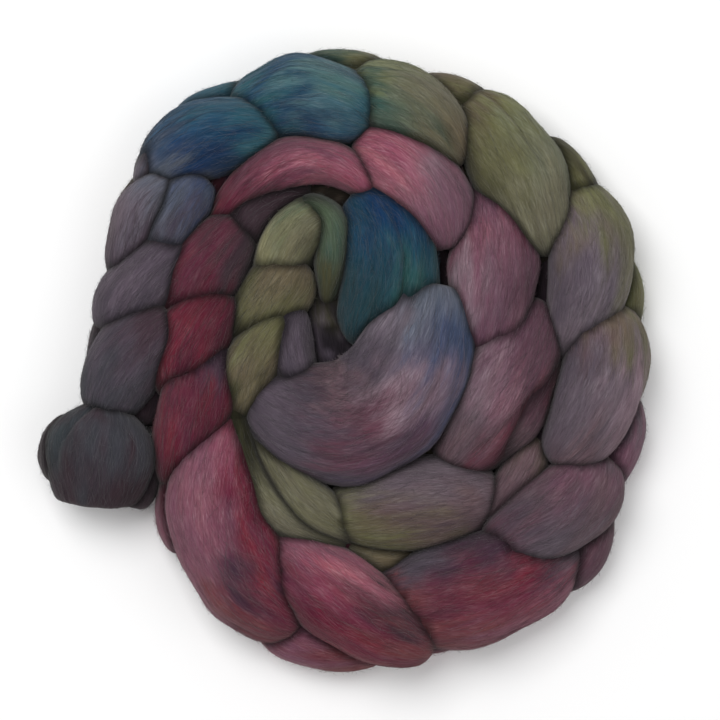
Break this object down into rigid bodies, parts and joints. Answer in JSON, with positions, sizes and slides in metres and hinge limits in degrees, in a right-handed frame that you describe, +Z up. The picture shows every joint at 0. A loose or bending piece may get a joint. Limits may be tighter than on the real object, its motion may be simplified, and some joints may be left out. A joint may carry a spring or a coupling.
{
  "type": "wool roving braid",
  "caption": "Hand-dyed combed wool top, chained on itself into a plump soft braid and laid flat in a round inward spiral, ready for spinning or felting.",
  "frame": {"origin": "middle of the spiral's outline, on the surface it lies on", "axes": "+Z up out of the surface it lies on, through the top of the braid; +Y towards the far edge of the picture; +X to its right"},
  "size_m": [0.2616, 0.27, 0.0506],
  "materials": {
    "dyed_wool": "soft matte wool with a slight sheen along the fibres, dyed in patches that run from maroon and rose through mauve and olive to teal and blue"
  },
  "bodies": {
    "root": {"roving": "dyed_wool"}
  },
  "joints": []
}
